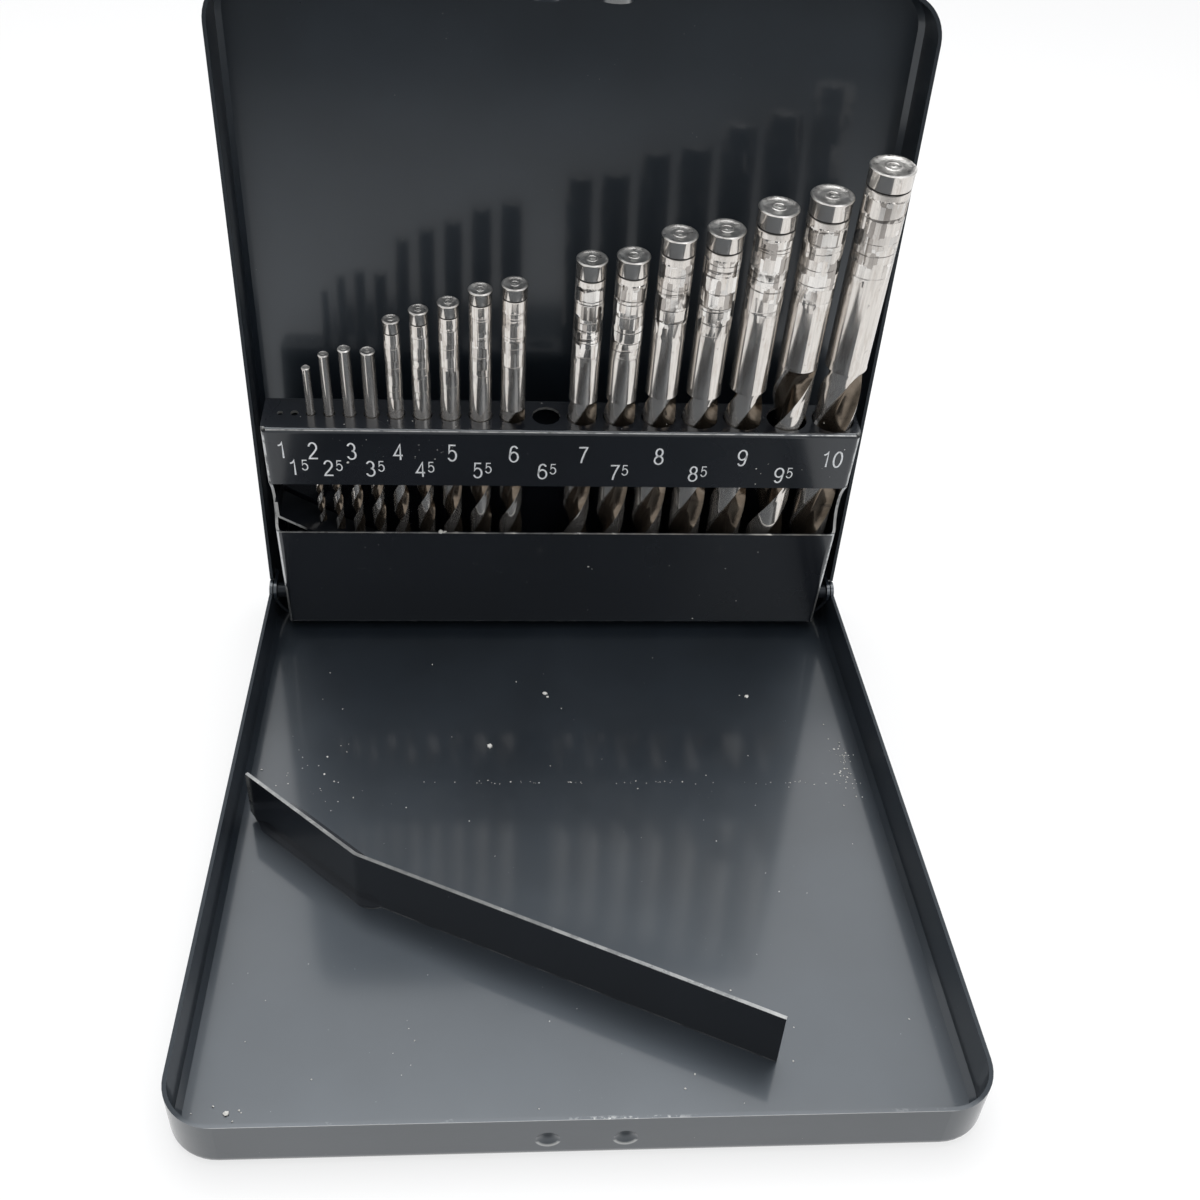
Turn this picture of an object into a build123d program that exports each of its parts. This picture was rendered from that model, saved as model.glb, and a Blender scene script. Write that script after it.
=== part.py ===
from build123d import *
import os
from math import ceil, cos, pi, radians, sin, tan

# Drill bit case, open as in use. Millimetres, +Z up, +Y away from the user.
# The origin is on the table, straight below the rim of the upright lid, at mid width.
os.makedirs("parts", exist_ok=True)

# Case: two pressed trays that butt at their rims
case_width = 154.2
case_length = 167.0
shell_depth = 12.3
sheet = 0.8
corner_radius = 10.5
edge_radius = 2.5
inner_bevel = 1.2
hinge_inset = 0.6
step_height = 2.2

# Hinge: shouldered rivets through lug, ear and rack cheek
lug_radius = 2.8
rivet_radius = 1.1
shoulder_radius = 2.0
swing_gap = 0.3
side_play = 0.15
running_clearance = 0.05
seated_clearance = 0.02

# Snap: two dimples in the base, a two-lobed tongue on the lid
snap_spacing = 14.2
snap_height = 6.2
dimple_radius = 2.2
dimple_depth = 0.8
lobe_radius = 3.4
tongue_gap = 0.4
tongue_hole_radius = 2.1

# Index rack, folded from one sheet. It leans forward of the open lid.
rack_side_gap = 4.6
rack_depth = 12.9
rack_sheet = 0.7
rack_lean = 8.25
rack_front = 4.77
bend_radius = 1.1
corner_bend_radius = 1.6
shelf_top = 59.3
flange_height = 17.1
panel_top = 25.8
rack_bottom = -8.0
cheek_setback = 3.1
flange_chamfer = 1.2
relief_radius = 0.8
relief_inset = 0.5

# Row of holes, 1 to 10 mm by halves, with the largest at the right
smallest_hole = 1.0
hole_step = 0.5
first_hole_inset = 4.13
last_hole_inset = 6.1
web_taper = 0.045
hole_clearance = 0.25

# Strip that carries the points of the short drills
strip_tab_top = 34.8
strip_start_drop = 4.6
strip_middle_share = 0.238
strip_middle_height = 10.6
strip_end_share = 0.524
strip_end_height = -8.1
strip_slope = 27.0
seat_gap = 0.15

# Strip that keeps the shanks in their holes when the case is shut.
# Its corners are measured from the base's left side and front.
retainer_left = (4.2, 83.7)
retainer_bend = (30.6, 59.7)
retainer_right = (115.9, 17.9)
retainer_bend_radius = 5.0
retainer_height = 14.2
retainer_end_chamfer = 2.2
foot_width = 10.2
foot_length = 41.0
foot_start = 0.8
foot_lip = 1.2

# Overall length of the drill in each hole, from the smallest; three holes are empty
drill_lengths = (
    None, None, 49.0, 55.5, 60.0, 62.5, 74.5, 80.5, 86.0, 93.0,
    98.0, None, 110.5, 111.5, 117.0, 118.5, 124.0, 127.0, 134.0,
)
flute_share = 0.68
thin_drill_loss = 0.4
helix_angle = 27.0
point_half_angle = 59.0
flute_depth = 0.68
land_half_angle = 38.0
flute_half_angle = 20.0
shank_chamfer = 0.06
turn_between_drills = 47.0

# Flat facets that stand for round and twisted surfaces, by size of drill
thin_drill = 3.6
thick_drill = 6.6
thin_sides = 10
middle_sides = 12
thick_sides = 18
thin_twist_per_ring = 70.0
twist_per_ring = 50.0

# Places that follow from the dimensions above
pivot_y = -hinge_inset
pivot_z = shell_depth - hinge_inset
base_rear = pivot_y + pivot_z - sheet
base_front = base_rear - case_length
lid_bottom = sheet
lid_top = lid_bottom + case_length
half_width = case_width / 2
ear_outer = half_width - sheet - swing_gap
ear_inner = ear_outer - sheet
rack_width = case_width - 2 * rack_side_gap
cheek_outer = rack_width / 2
cheek_inner = cheek_outer - rack_sheet
trough_floor = rack_bottom + rack_sheet
rack_back = rack_front - rack_depth
row_y = -(rack_front + rack_back) / 2
rack_place = Pos(0, pivot_y, pivot_z) * Rot(rack_lean, 0, 0)
reach = 200.0


def block(x_range, y_range, z_range):
    """Box between two limits on each axis."""
    sizes = [high - low for low, high in (x_range, y_range, z_range)]
    middle = [(low + high) / 2 for low, high in (x_range, y_range, z_range)]
    return Pos(*middle) * Box(*sizes)


def pivot_disc(radius, x_low, x_high):
    """Round disc about the hinge line between two places across the case."""
    length = x_high - x_low
    return Pos((x_low + x_high) / 2, pivot_y, pivot_z) * Rot(0, 90, 0) * Cylinder(radius, length)


def tray():
    """One pressed half of the case, floor down, centred on the origin."""
    outside = extrude(RectangleRounded(case_width, case_length, corner_radius), shell_depth)
    outside = fillet(outside.edges().group_by(Axis.Z)[0], edge_radius)
    inner_outline = RectangleRounded(case_width - 2 * sheet, case_length - 2 * sheet, corner_radius - sheet)
    inside = Pos(0, 0, sheet) * extrude(inner_outline, shell_depth)
    inside = chamfer(inside.edges().group_by(Axis.Z)[0], inner_bevel)
    return outside - inside


def rear_floor():
    """Flat floor that runs on behind the side walls; the open lid stands on it."""
    outline = RectangleRounded(case_width - 2 * edge_radius, 2 * base_rear, corner_radius - edge_radius)
    return extrude(outline, sheet) & block((-reach, reach), (-hinge_inset, reach), (0, sheet))


def snap_dimple(x):
    """Inward bump and its outer hollow in the front wall."""
    hollow_radius = (dimple_radius**2 + dimple_depth**2) / (2 * dimple_depth)
    place = Pos(x, base_front - hollow_radius + dimple_depth, snap_height)
    inward = block((-reach, reach), (base_front + sheet / 2, reach), (0, shell_depth))
    return place * Sphere(hollow_radius + sheet) & inward, place * Sphere(hollow_radius)


def base_shell():
    """Lower tray without a rear wall, with hinge lugs and snap dimples."""
    body = Pos(0, (base_front + base_rear) / 2, 0) * tray()
    body -= block((-reach, reach), (0, reach), (-sheet, 2 * shell_depth))
    body += rear_floor()
    for side in (-1, 1):
        inner, outer = sorted((side * (half_width - sheet), side * half_width))
        body += pivot_disc(lug_radius, inner, outer)
        bump, hollow = snap_dimple(side * snap_spacing / 2)
        body = body + bump - hollow
    return body - pivot_disc(rivet_radius + seated_clearance, -reach, reach)


def hinge_rivet(side):
    """Shouldered rivet: flush in the lug, through the ear, a shoulder, then a stub in the cheek."""
    steps = (
        (rivet_radius, cheek_inner + running_clearance, half_width),
        (shoulder_radius, cheek_outer + side_play, ear_inner - side_play),
    )
    body = Part()
    for radius, x_low, x_high in steps:
        body += pivot_disc(radius, *sorted((side * x_low, side * x_high)))
    return body


def lid_ear(side):
    """Ear set inward of the lid's wall, so that it passes inside the base's lug."""
    wall_inner = half_width - sheet
    root_start = lug_radius + 2 * swing_gap
    root_end = root_start + step_height
    points = [
        (ear_inner, pivot_y - lug_radius),
        (ear_inner, root_end - 2 * sheet),
        (wall_inner, root_end),
        (wall_inner + sheet / 4, root_end),
        (wall_inner + sheet / 4, root_start),
        (ear_outer, root_start),
        (ear_outer, pivot_y - lug_radius),
    ]
    outline = make_face(Polyline(*[(side * x, y) for x, y in points], close=True))
    strap = Pos(0, 0, pivot_z) * extrude(outline, lug_radius, both=True)
    keep = pivot_disc(lug_radius, -reach, reach)
    keep += block((-reach, reach), (pivot_y, reach), (pivot_z - lug_radius, pivot_z + lug_radius))
    return strap & keep


def lid_tongue():
    """Two-lobed tongue, set inward of the far wall, with holes for the dimples."""
    top = lid_top - sheet - tongue_gap
    hole_y = snap_height - shell_depth
    half = snap_spacing / 2 + lobe_radius
    plate = block((-half, half), (hole_y, step_height), (top - sheet, top))
    for side in (-1, 1):
        centre = Pos(side * snap_spacing / 2, hole_y, top - sheet / 2)
        plate += centre * Cylinder(lobe_radius, sheet)
        plate -= centre * Cylinder(tongue_hole_radius, 2 * sheet)
    step = [
        (swing_gap, top - sheet),
        (step_height, top - sheet),
        (step_height + sheet, top + sheet),
        (swing_gap, top + sheet),
    ]
    joggle = extrude(Plane.YZ * make_face(Polyline(*step, close=True)), half, both=True)
    return plate + joggle


def lid_shell():
    """Upper tray, standing on the base's rear floor."""
    body = Pos(0, shell_depth, (lid_bottom + lid_top) / 2) * Rot(90, 0, 0) * tray()
    body -= pivot_disc(lug_radius + swing_gap, -reach, reach)
    for side in (-1, 1):
        body += lid_ear(side)
    body += lid_tongue()
    return body - pivot_disc(rivet_radius + running_clearance, -reach, reach)


def rack_box(inset):
    """Outline of the folded rack, drawn in by an inset and rounded at its bends."""
    width = rack_width - 2 * inset
    depth = rack_depth - 2 * inset
    height = shelf_top - rack_bottom - 2 * inset
    across = extrude(Plane.YZ * RectangleRounded(depth, height, bend_radius - inset), width / 2, both=True)
    upright = extrude(RectangleRounded(width, depth, corner_bend_radius - inset), height / 2, both=True)
    return Pos(0, row_y, (shelf_top + rack_bottom) / 2) * (across & upright)


def hole_row():
    """Diameter and place of every hole, from the left; the webs narrow a little as the holes grow."""
    diameters = [smallest_hole + hole_step * number for number in range(len(drill_lengths))]
    middles = [(low + high) / 2 for low, high in zip(diameters, diameters[1:])]
    row_length = rack_width - first_hole_inset - last_hole_inset
    web = (row_length - (1 - web_taper) * sum(middles)) / len(middles)
    row = [(diameters[0], first_hole_inset - cheek_outer)]
    for diameter, middle in zip(diameters[1:], middles):
        row.append((diameter, row[-1][1] + web + (1 - web_taper) * middle))
    return row


def cheek_recess():
    """Round recess of the cheeks' front edges behind the window."""
    chord = shelf_top - flange_height - panel_top
    radius = ((chord / 2) ** 2 + cheek_setback**2) / (2 * cheek_setback)
    depth = rack_front - rack_sheet - cheek_setback + radius
    recess = Pos(0, -depth, panel_top + chord / 2) * Rot(0, 90, 0) * Cylinder(radius, reach)
    return recess & block((-reach, reach), (rack_sheet - rack_front, reach), (0, shelf_top))


def drill_rack():
    """Index rack in its own frame, hinge line at its origin."""
    body = rack_box(0) - rack_box(rack_sheet)
    flange_bottom = shelf_top - flange_height
    body -= block((-reach, reach), (-reach, rack_sheet - rack_front), (panel_top, flange_bottom))
    body -= cheek_recess()
    for diameter, x in hole_row():
        outline = RegularPolygon(diameter / 2 + hole_clearance, round_sides(diameter))
        body -= Pos(x, row_y, shelf_top) * extrude(outline, 2 * rack_sheet, both=True)
    for side in (-1, 1):
        relief = Pos(side * (cheek_outer - relief_inset), relief_inset - rack_front, shelf_top)
        body -= relief * Cylinder(relief_radius, 2 * bend_radius)
        corner = Pos(side * cheek_outer, -rack_front, flange_bottom) * Rot(0, 45, 0)
        body -= corner * Box(flange_chamfer * 2**0.5, 2 * rack_sheet, flange_chamfer * 2**0.5)
    return body - Rot(0, 90, 0) * Cylinder(rivet_radius + running_clearance, reach)


def strip_curve():
    """Bowed upper face of the tip rest, drawn across the rack."""
    start = (rack_sheet - cheek_inner, strip_tab_top - strip_start_drop)
    middle = (strip_middle_share * rack_width - cheek_outer, strip_middle_height)
    end = (strip_end_share * rack_width - cheek_outer, strip_end_height)
    return ThreePointArc(start, middle, end)


def tip_rest_strip():
    """Sloping strip with a tab up the left cheek, cut level where it meets the trough."""
    upper = strip_curve()
    slope = radians(strip_slope)
    lower = Pos(-rack_sheet * sin(slope), -rack_sheet * cos(slope)) * upper
    tab_bottom = strip_tab_top - strip_start_drop
    tab = Polyline(
        lower @ 0,
        (-cheek_inner, tab_bottom),
        (-cheek_inner, strip_tab_top),
        (rack_sheet - cheek_inner, strip_tab_top),
        upper @ 0,
    )
    outline = make_face([upper, Line(upper @ 1, lower @ 1), lower, tab])
    front = corner_bend_radius - rack_front
    back = -corner_bend_radius - rack_back
    body = extrude(Plane.XZ * outline, rack_depth, both=True)
    return body & block((-reach, reach), (front, back), (trough_floor, reach))


def shank_retainer():
    """Bent strip on the base floor, with a long rounded foot under its short arm."""
    measured = (retainer_left, retainer_bend, retainer_right)
    corners = [Vector(x - half_width, y + base_front) for x, y in measured]
    wall = make_brake_formed(
        sheet,
        retainer_height,
        FilletPolyline(*corners, radius=retainer_bend_radius),
        Side.LEFT,
        Kind.ARC,
    )
    along = (corners[1] - corners[0]).normalized()
    arm = Pos(corners[0]) * Rot(0, 0, along.get_signed_angle(Vector(1, 0, 0), Vector(0, 0, -1)))
    cut = retainer_end_chamfer * 2**0.5
    corner = arm * Rot(0, 45, 0) * Box(cut, 4 * sheet, cut)
    foot_place = arm * Pos(foot_start + foot_length / 2, foot_width / 2 - foot_lip)
    foot = foot_place * extrude(SlotOverall(foot_length, foot_width), sheet)
    return Pos(0, 0, sheet) * (wall - corner + foot)


def round_sides(diameter):
    """Number of flat sides that stand for a round drill or hole of this size."""
    if diameter < thin_drill:
        return thin_sides
    return middle_sides if diameter < thick_drill else thick_sides


def seat_height(x):
    """Height at which a drill's point rests, on the strip or on the trough's floor."""
    upper = strip_curve()
    start, end = upper @ 0, upper @ 1
    if x > end.X:
        return trough_floor
    low, high = 0.0, 1.0
    while high - low > 1e-4:
        middle = (low + high) / 2
        low, high = (middle, high) if (upper @ middle).X < x else (low, middle)
    return max(trough_floor, (upper @ low).Y)


def flute_ring(radius, pitch, height, depth, pointed):
    """Ring of corners round a drill, turned with its height; the first ring lies on the point."""
    profile = [
        (-land_half_angle, 0.0),
        (0, 0.0),
        (land_half_angle, 0.0),
        (90 - flute_half_angle, flute_depth),
        (90 + flute_half_angle, flute_depth),
    ]
    ring = []
    for half_turn in (0, 180):
        for angle, cut in profile:
            reach_out = radius * (1 - cut * depth)
            level = reach_out / tan(radians(point_half_angle)) if pointed else height
            turn = radians(angle + half_turn + 360 * level / pitch)
            ring.append(Vector(reach_out * cos(turn), reach_out * sin(turn), level))
    return ring


def fluted_length(diameter, flute_end):
    """Twisted two-fluted body with its point at the origin, in flat facets."""
    radius = diameter / 2
    pitch = pi * diameter / tan(radians(helix_angle))
    start = radius / tan(radians(point_half_angle))
    twist = (flute_end - start) / pitch * 360
    count = ceil(twist / (twist_per_ring if diameter > thin_drill else thin_twist_per_ring))
    rings = [flute_ring(radius, pitch, 0, 1, True)]
    for step in range(1, count + 1):
        depth = min(1.0, (count - step) / 2)
        rings.append(flute_ring(radius, pitch, start + (flute_end - start) * step / count, depth, False))
    faces = [Face(Wire.make_polygon(rings[-1]))]
    tip = Vector(0, 0, 0)
    corners = range(len(rings[0]))
    for corner in corners:
        after = (corner + 1) % len(corners)
        faces.append(Face(Wire.make_polygon([tip, rings[0][after], rings[0][corner]])))
        for lower, upper in zip(rings, rings[1:]):
            faces.append(Face(Wire.make_polygon([lower[corner], lower[after], upper[after]])))
            faces.append(Face(Wire.make_polygon([lower[corner], upper[after], upper[corner]])))
    return Solid(Shell(faces))


def twist_drill(diameter, length):
    """Jobber drill, point down at the origin."""
    flute_end = length * (flute_share - thin_drill_loss / diameter)
    shank = extrude(RegularPolygon(diameter / 2, round_sides(diameter)), length - flute_end)
    shank = chamfer(shank.edges().group_by(Axis.Z)[-1], shank_chamfer * diameter)
    return fluted_length(diameter, flute_end) + Pos(0, 0, flute_end) * shank


def placed_drill(diameter, length, x, turn):
    """Drill standing in its hole, its point on its rest."""
    place = rack_place * Pos(x, row_y, seat_height(x) + seat_gap) * Rot(0, 0, turn)
    return place * twist_drill(diameter, length)


def node_solids():
    """Every piece of the case, by node name."""
    nodes = {
        "base_shell": base_shell(),
        "lid_shell": lid_shell(),
        "hinge_rivet_left": hinge_rivet(-1),
        "hinge_rivet_right": hinge_rivet(1),
        "drill_rack": rack_place * drill_rack(),
        "tip_rest_strip": rack_place * tip_rest_strip(),
        "shank_retainer": shank_retainer(),
    }
    for number, ((diameter, x), length) in enumerate(zip(hole_row(), drill_lengths)):
        if length:
            name = f"drill_bit_{1 + number / 2}".replace(".", "_")
            nodes[name] = placed_drill(diameter, length, x, turn_between_drills * number)
    return nodes


for name, solid in node_solids().items():
    export_step(solid, f"parts/{name}.step")
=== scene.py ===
import math
import random

import bpy
import bmesh
from mathutils import Matrix, Vector


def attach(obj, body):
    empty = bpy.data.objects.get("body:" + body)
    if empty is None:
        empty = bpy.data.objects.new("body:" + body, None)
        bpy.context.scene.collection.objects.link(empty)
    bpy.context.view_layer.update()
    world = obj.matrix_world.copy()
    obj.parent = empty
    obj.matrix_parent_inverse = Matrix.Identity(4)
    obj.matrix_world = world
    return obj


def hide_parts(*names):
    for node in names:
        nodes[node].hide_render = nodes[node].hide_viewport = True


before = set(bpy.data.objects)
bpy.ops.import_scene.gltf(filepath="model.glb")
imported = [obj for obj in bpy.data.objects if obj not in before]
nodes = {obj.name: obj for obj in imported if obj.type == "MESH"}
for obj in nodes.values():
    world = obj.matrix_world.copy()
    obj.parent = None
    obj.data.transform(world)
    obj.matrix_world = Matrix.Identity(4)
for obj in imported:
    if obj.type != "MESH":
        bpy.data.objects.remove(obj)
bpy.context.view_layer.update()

MM = 0.001
PIVOT = Vector((0, -0.6, 11.7)) * MM
LEAN = math.radians(8.25)
RACK = Matrix.Translation(PIVOT) @ Matrix.Rotation(LEAN, 4, "X")
RACK_FRONT = 4.77
ROW_Y = 1.68
SHELF_TOP = 59.3
FLANGE_HEIGHT = 17.1
PANEL_TOP = 25.8
HALF_WIDTH = 77.1
DIMPLE_X = 0.0071
DIMPLE_Z = 0.0062


# ---------------------------------------------------------------- materials

class Nodes:
    """Short way to build one material's node tree."""

    def __init__(self, name):
        self.material = bpy.data.materials.new(name)
        self.material.use_nodes = True
        self.tree = self.material.node_tree
        self.shader = self.tree.nodes["Principled BSDF"]

    def add(self, kind, inputs=None, **settings):
        node = self.tree.nodes.new(kind)
        for key, value in settings.items():
            setattr(node, key, value)
        for key, value in (inputs or {}).items():
            self.put(node.inputs[key], value)
        return node

    def put(self, socket, value):
        if isinstance(value, bpy.types.NodeSocket):
            self.tree.links.new(value, socket)
        else:
            socket.default_value = value

    def place(self, scale=(1, 1, 1), turn=(0, 0, 0)):
        source = self.add("ShaderNodeTexCoord").outputs["Object"]
        mapping = self.add("ShaderNodeMapping", {"Vector": source, "Scale": scale, "Rotation": turn})
        return mapping.outputs["Vector"]

    def noise(self, scale, detail=3.0, rough=0.55, vector=None):
        where = vector or self.place()
        return self.add(
            "ShaderNodeTexNoise",
            {"Vector": where, "Scale": scale, "Detail": detail, "Roughness": rough},
        ).outputs["Fac"]

    def ramp(self, value, low, high, start=0.0, end=1.0):
        node = self.add("ShaderNodeMapRange", {"Value": value, "From Min": low, "From Max": high,
                                               "To Min": start, "To Max": end})
        return node.outputs["Result"]

    def mix(self, fac, a, b):
        node = self.add("ShaderNodeMix", data_type="RGBA")
        self.put(node.inputs["Factor"], fac)
        self.put(node.inputs[6], a)
        self.put(node.inputs[7], b)
        return node.outputs[2]

    def math(self, operation, a, b=0.0, clamp=False):
        node = self.add("ShaderNodeMath", operation=operation, use_clamp=clamp)
        self.put(node.inputs[0], a)
        self.put(node.inputs[1], b)
        return node.outputs[0]

    def bump(self, height, strength, distance, below=None):
        inputs = {"Height": height, "Strength": strength, "Distance": distance}
        if below is not None:
            inputs["Normal"] = below
        return self.add("ShaderNodeBump", inputs).outputs["Normal"]

    def set(self, **values):
        for key, value in values.items():
            self.put(self.shader.inputs[key.replace("_", " ")], value)


def band(n, value, low, high, soft):
    """Mask that is 1 where a value lies between two limits."""
    rise = n.ramp(value, low - soft, low + soft)
    fall = n.ramp(value, high + soft, high - soft)
    return n.math("MULTIPLY", rise, fall, True)


def both(n, *masks):
    result = masks[0]
    for mask in masks[1:]:
        result = n.math("MULTIPLY", result, mask, True)
    return result


def either(n, *masks):
    result = masks[0]
    for mask in masks[1:]:
        result = n.math("MAXIMUM", result, mask, True)
    return result


def parts_of(n, vector):
    split = n.add("ShaderNodeSeparateXYZ", {"Vector": vector})
    return [split.outputs[axis] for axis in "XYZ"]


def rest_frame(n):
    """Place and facing on the piece at rest, in the case's own frame."""
    source = n.add("ShaderNodeTexCoord")
    return parts_of(n, source.outputs["Object"]) + parts_of(n, source.outputs["Normal"])


def rack_frame(n):
    """Place and facing on the piece at rest, in the rack's leaning frame."""
    source = n.add("ShaderNodeTexCoord")
    turn = (-LEAN, 0, 0)
    shift = -(Matrix.Rotation(-LEAN, 3, "X") @ PIVOT)
    place = n.add("ShaderNodeMapping", {"Vector": source.outputs["Object"], "Location": shift, "Rotation": turn})
    facing = n.add("ShaderNodeMapping", {"Vector": source.outputs["Normal"], "Rotation": turn}, vector_type="VECTOR")
    return parts_of(n, place.outputs["Vector"]) + parts_of(n, facing.outputs["Vector"])


def chips(n, scale, low, high):
    return n.ramp(n.noise(scale, 4.0, 0.62), low, high)


def shell_wear(n):
    """Rims of the two trays, rubbed through here and there; also a painted highlight, a thin bright crescent on the
    lower lip of each dimple.
    """
    x, y, z, nx, ny, nz = rest_frame(n)
    base_rim = both(n, n.ramp(nz, 0.8, 0.95), band(n, z, 0.0121, 0.0130, 0.0001))
    lid_rim = both(n, n.ramp(ny, -0.8, -0.95), band(n, y, -0.0005, 0.0002, 0.0001))
    thin = both(n, either(n, base_rim, lid_rim), chips(n, 260.0, 0.60, 0.70))
    front_lip = both(n, base_rim, n.ramp(y, -0.15655, -0.15662))
    snap = both(n, base_rim, band(n, x, -0.001, 0.016, 0.004), n.ramp(y, -0.1560, -0.1564), chips(n, 700.0, 0.50, 0.58))
    # Painted highlight: a thin bright crescent on the lower lip of each dimple.
    highlight_crescents = []
    for centre in (-DIMPLE_X, DIMPLE_X):
        across = n.math("SUBTRACT", x, centre)
        up = n.math("SUBTRACT", z, DIMPLE_Z)
        away = n.math("SQRT", n.math("ADD", n.math("MULTIPLY", across, across), n.math("MULTIPLY", up, up)))
        highlight_crescents.append(both(n, band(n, away, 0.0020, 0.0024, 0.00015), n.ramp(up, -0.0006, -0.0011)))
    highlight_crescent = both(n, either(n, *highlight_crescents), n.ramp(y, -0.1550, -0.1556))
    tongue = both(n, n.ramp(ny, -0.3, -0.8), band(n, y, -0.0105, -0.0080, 0.0004), n.ramp(x, 0.003, 0.006, 0.0, 0.35))
    return either(n, n.math("MULTIPLY", thin, 0.12), n.math("MULTIPLY", front_lip, 0.25), n.math("MULTIPLY", snap, 0.6),
                  tongue, n.math("MULTIPLY", highlight_crescent, 0.55))


def shell_shade(n):
    """Rims of the trays that are rolled over and so hardly shine; the base's front rim does. There, and in a dark pit
    at the middle of each dimple, the colour is halved as painted shade.
    """
    x, y, z, nx, ny, nz = rest_frame(n)
    base_rim = both(n, n.ramp(nz, 0.7, 0.9), band(n, z, 0.0118, 0.0130, 0.0001), n.ramp(y, -0.1560, -0.1540))
    lid_rim = both(n, n.ramp(ny, -0.7, -0.9), band(n, y, -0.0006, 0.0004, 0.0001))
    off_middle = n.math("SUBTRACT", n.math("ABSOLUTE", x), DIMPLE_X)
    above = n.math("SUBTRACT", z, DIMPLE_Z + 0.0003)
    away = n.math("SQRT", n.math("ADD", n.math("MULTIPLY", off_middle, off_middle), n.math("MULTIPLY", above, above)))
    # Painted shade: a dark pit at the middle of each dimple.
    pit_painted_shade = both(n, n.ramp(away, 0.0014, 0.0006), n.ramp(y, -0.1545, -0.1550))
    return either(n, base_rim, lid_rim, pit_painted_shade)


def rack_wear(n):
    """Folds, cut edges and hole edges of the index rack; the line along the top fold is partly rubbed paint and partly
    a painted highlight of the bend.
    """
    x, w, u, nx, nw, nz = rack_frame(n)
    side = n.math("ABSOLUTE", x)
    facing_side = n.math("ABSOLUTE", nx)
    # Top fold: bare-metal chips plus a painted highlight of the bend.
    fold_wear_and_highlight = both(n, band(n, nz, 0.64, 0.78, 0.05), n.ramp(w, -0.0034, -0.0037), n.ramp(u, 0.0578, 0.0582))
    fold_wear_and_highlight = n.math("MULTIPLY", both(n, fold_wear_and_highlight, chips(n, 330.0, 0.26, 0.50)), 0.62)
    panel_edge = both(n, n.ramp(nz, 0.85, 0.97), band(n, u, 0.0255, 0.0262, 0.0001), n.ramp(w, -0.00428, -0.00440),
                      chips(n, 380.0, 0.25, 0.50))
    panel_edge = n.math("MULTIPLY", panel_edge, n.ramp(x, -0.02, 0.05, 0.40, 0.75))
    cheek_edge = both(n, n.ramp(nw, -0.55, -0.8), n.ramp(w, -0.0041, -0.0039), n.ramp(side, 0.0715, 0.0717),
                      chips(n, 300.0, 0.25, 0.45))
    corner = both(n, band(n, facing_side, 0.50, 0.86, 0.06), n.ramp(nw, -0.3, -0.5), chips(n, 260.0, 0.36, 0.50))
    holes = both(n, band(n, u, 0.0585, 0.05926, 0.00005), n.ramp(n.math("ABSOLUTE", nz), 0.35, 0.15),
                 n.ramp(w, -0.0035, -0.0030), n.ramp(side, 0.0712, 0.0708), chips(n, 420.0, 0.30, 0.45))
    foot = both(n, band(n, nz, -0.88, -0.45, 0.08), n.ramp(u, -0.0068, -0.0072), chips(n, 300.0, 0.48, 0.62))
    return either(n, fold_wear_and_highlight, panel_edge, n.math("MULTIPLY", cheek_edge, 0.5), n.math("MULTIPLY", corner, 0.7),
                  n.math("MULTIPLY", holes, 0.8), n.math("MULTIPLY", foot, 0.5))


def strip_wear(n):
    """Cut edges of the shank retainer: bare metal with remains of paint, and a painted highlight along its lower edge.
    """
    x, y, z, nx, ny, nz = rest_frame(n)
    top = both(n, n.ramp(nz, 0.85, 0.97), n.ramp(z, 0.0142, 0.0147), chips(n, 240.0, 0.15, 0.75))
    end = both(n, n.ramp(nx, 0.80, 0.90), n.ramp(x, 0.0380, 0.0385), chips(n, 420.0, 0.25, 0.45))
    far_end = both(n, n.ramp(nx, -0.60, -0.75), n.ramp(x, -0.0715, -0.0722), chips(n, 420.0, 0.30, 0.5))
    # Painted highlight: a line along the lower edge, broken by chips.
    bottom = both(n, band(n, z, 0.0007, 0.00115, 0.0001), n.ramp(ny, -0.4, -0.7), chips(n, 160.0, 0.35, 0.75))
    return n.math("MULTIPLY", either(n, top, end, far_end, n.math("MULTIPLY", bottom, 0.4)), 0.50)


def rest_wear(n):
    """Front edge of the sloping tip rest: a painted highlight, a bright bare-metal line broken by chips, on its left
    part only.
    """
    x, w, u, nx, nw, nz = rack_frame(n)
    # Painted highlight along the front edge, left part only.
    edge = both(n, n.ramp(nw, -0.85, -0.95), n.ramp(x, -0.0645, -0.0660), chips(n, 420.0, 0.25, 0.42))
    return n.math("MULTIPLY", edge, 0.6)


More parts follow.
